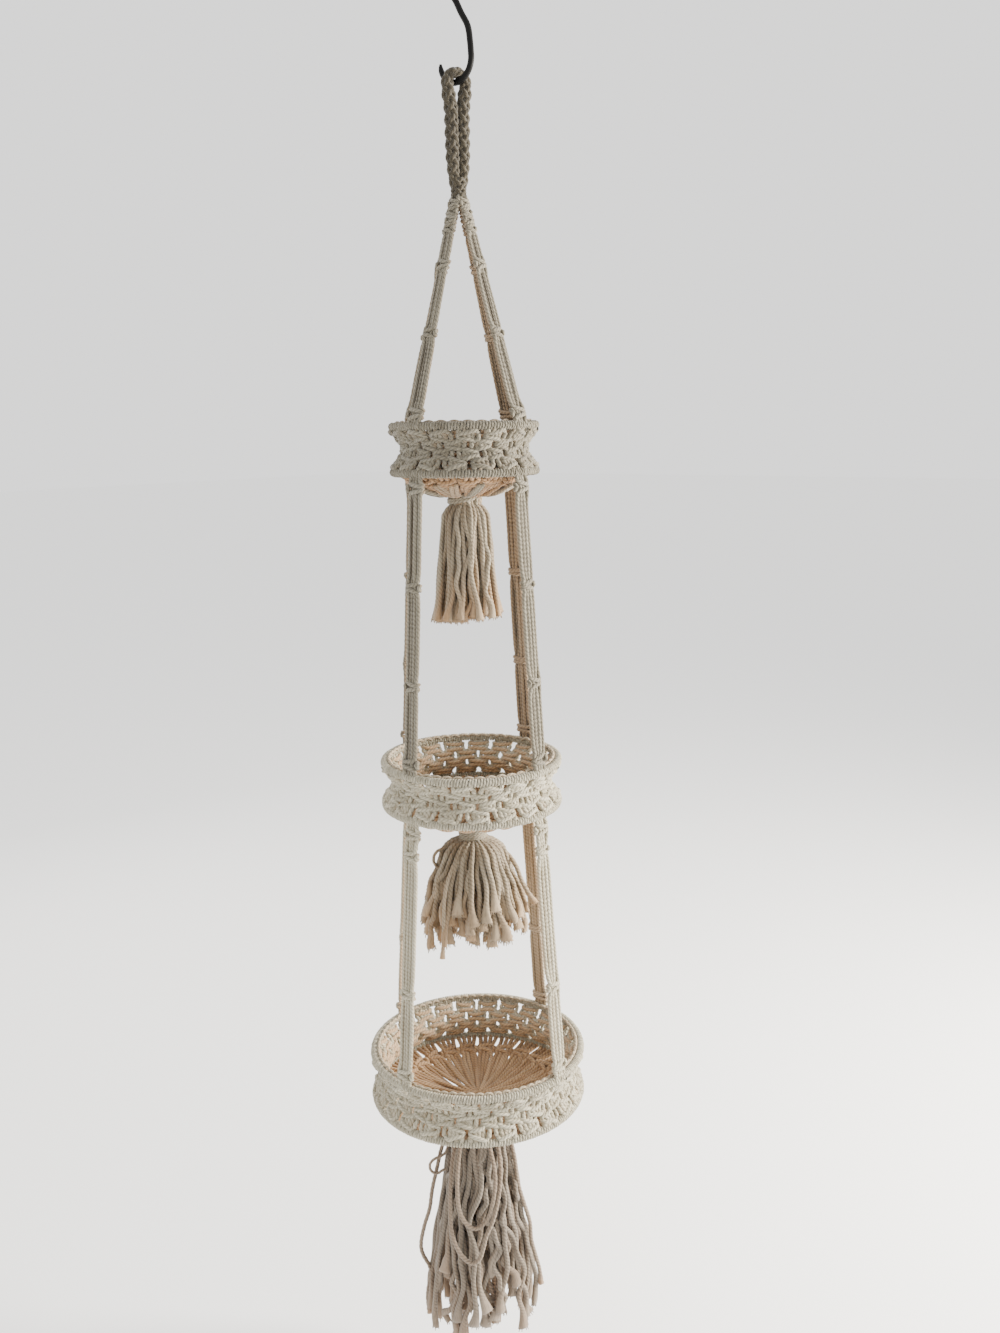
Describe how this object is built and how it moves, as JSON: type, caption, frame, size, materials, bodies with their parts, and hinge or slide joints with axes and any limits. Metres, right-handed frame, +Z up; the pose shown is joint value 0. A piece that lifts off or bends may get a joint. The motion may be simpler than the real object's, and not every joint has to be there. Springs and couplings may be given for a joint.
{
  "type": "hanging macrame planter",
  "caption": "Tiered hanging planter of knotted cotton cord: round open baskets on hitched steel rings, joined by knotted straps, each ending in a loose tassel, hung from a black S-hook.",
  "frame": {"origin": "the point inside the S-hook's upper bend where the rail bears", "axes": "+Z up along the hanging axis; the S-hook lies in the XZ plane with its spine on the +X side of the lower bend, the hanging loop hangs across it, turned 20 degrees from the YZ plane, and each level's straps stand at +X, +Y, -X and -Y"},
  "size_m": [0.3166, 0.3166, 1.9524],
  "materials": {
    "shaded_cotton": "matt undyed cotton cord, greyish beige",
    "pale_cotton": "matt undyed cotton cord, cream",
    "floor_cotton": "matt undyed cotton cord, warm tan inside the baskets",
    "ring_steel": "plain welded steel wire ring, hidden inside its hitches",
    "black_iron": "satin black coated steel rod"
  },
  "bodies": {
    "hook": {"s_hook": "black_iron"},
    "loop": {"hanging_loop": "shaded_cotton"},
    "neck": {"neck_knot": "shaded_cotton"},
    "tier_1": {"tier_1_top_ring": "ring_steel", "tier_1_top_hitches": "shaded_cotton", "tier_1_knotted_band": "shaded_cotton", "tier_1_bottom_ring": "ring_steel", "tier_1_bottom_hitches": "shaded_cotton", "tier_1_floor_net": "floor_cotton", "tier_1_gather_wrap": "shaded_cotton", "upper_strap_1": "shaded_cotton", "upper_strap_2": "shaded_cotton", "upper_strap_3": "shaded_cotton", "upper_strap_4": "shaded_cotton"},
    "tassel_1": {"tier_1_tassel": "shaded_cotton"},
    "left_straps_2": {"middle_strap_3": "shaded_cotton", "middle_strap_4": "shaded_cotton"},
    "right_straps_2": {"middle_strap_1": "shaded_cotton", "middle_strap_2": "shaded_cotton"},
    "tier_2": {"tier_2_top_ring": "ring_steel", "tier_2_top_hitches": "pale_cotton", "tier_2_knotted_band": "pale_cotton", "tier_2_bottom_ring": "ring_steel", "tier_2_bottom_hitches": "pale_cotton", "tier_2_floor_net": "floor_cotton", "tier_2_gather_wrap": "pale_cotton"},
    "tassel_2": {"tier_2_tassel": "pale_cotton"},
    "left_straps_3": {"lower_strap_3": "pale_cotton", "lower_strap_4": "pale_cotton"},
    "right_straps_3": {"lower_strap_1": "pale_cotton", "lower_strap_2": "pale_cotton"},
    "tier_3": {"tier_3_top_ring": "ring_steel", "tier_3_top_hitches": "pale_cotton", "tier_3_knotted_band": "pale_cotton", "tier_3_bottom_ring": "ring_steel", "tier_3_bottom_hitches": "pale_cotton", "tier_3_floor_net": "floor_cotton", "tier_3_gather_wrap": "pale_cotton"},
    "tassel_3": {"tier_3_tassel": "pale_cotton"}
  },
  "joints": [
    {"name": "loop_swing", "type": "hinge", "parent": "hook", "child": "loop", "pos_m": [0, 0, -0.142], "axis": [1, 0, 0], "range_deg": [-20, 20]},
    {"name": "neck_swing", "type": "hinge", "parent": "loop", "child": "neck", "pos_m": [0, 0, -0.2725], "axis": [0, 1, 0], "range_deg": [-15, 15]},
    {"name": "planter_turn", "type": "hinge", "parent": "neck", "child": "tier_1", "pos_m": [0, 0, -0.2845], "axis": [0, 0, 1], "range_deg": [-90, 90]},
    {"name": "tier_2_sway", "type": "hinge", "parent": "tier_1", "child": "left_straps_2", "pos_m": [-0.048, -0.048, -0.639], "axis": [0.7071, -0.7071, 0], "range_deg": [-8, 8]},
    {"name": "right_straps_2_sway", "type": "hinge", "parent": "tier_1", "child": "right_straps_2", "pos_m": [0.048, 0.048, -0.639], "axis": [0.7071, -0.7071, 0], "range_deg": [-8, 8]},
    {"name": "tier_2_level", "type": "hinge", "parent": "left_straps_2", "child": "tier_2", "pos_m": [-0.06125, -0.06125, -1.023], "axis": [0.7071, -0.7071, 0], "range_deg": [-7, 7]},
    {"name": "tier_3_sway", "type": "hinge", "parent": "tier_2", "child": "left_straps_3", "pos_m": [-0.06125, -0.06125, -1.101], "axis": [0.7071, -0.7071, 0], "range_deg": [-8, 8]},
    {"name": "right_straps_3_sway", "type": "hinge", "parent": "tier_2", "child": "right_straps_3", "pos_m": [0.06125, 0.06125, -1.101], "axis": [0.7071, -0.7071, 0], "range_deg": [-8, 8]},
    {"name": "tier_3_level", "type": "hinge", "parent": "left_straps_3", "child": "tier_3", "pos_m": [-0.07625, -0.07625, -1.463], "axis": [0.7071, -0.7071, 0], "range_deg": [-7, 7]},
    {"name": "tassel_1_swing", "type": "hinge", "parent": "tier_1", "child": "tassel_1", "pos_m": [0, 0, -0.6714], "axis": [0.7071, -0.7071, 0], "range_deg": [-14, 14]},
    {"name": "tassel_2_swing", "type": "hinge", "parent": "tier_2", "child": "tassel_2", "pos_m": [0, 0, -1.1334], "axis": [0.7071, -0.7071, 0], "range_deg": [-14, 14]},
    {"name": "tassel_3_swing", "type": "hinge", "parent": "tier_3", "child": "tassel_3", "pos_m": [0, 0, -1.5724], "axis": [0.7071, -0.7071, 0], "range_deg": [-14, 14]}
  ],
  "couplings": [
    {"joint": "right_straps_2_sway", "follows": "tier_2_sway", "ratio": 1},
    {"joint": "tier_2_level", "follows": "tier_2_sway", "ratio": -0.7837},
    {"joint": "right_straps_3_sway", "follows": "tier_3_sway", "ratio": 1},
    {"joint": "tier_3_level", "follows": "tier_3_sway", "ratio": -0.8033}
  ]
}
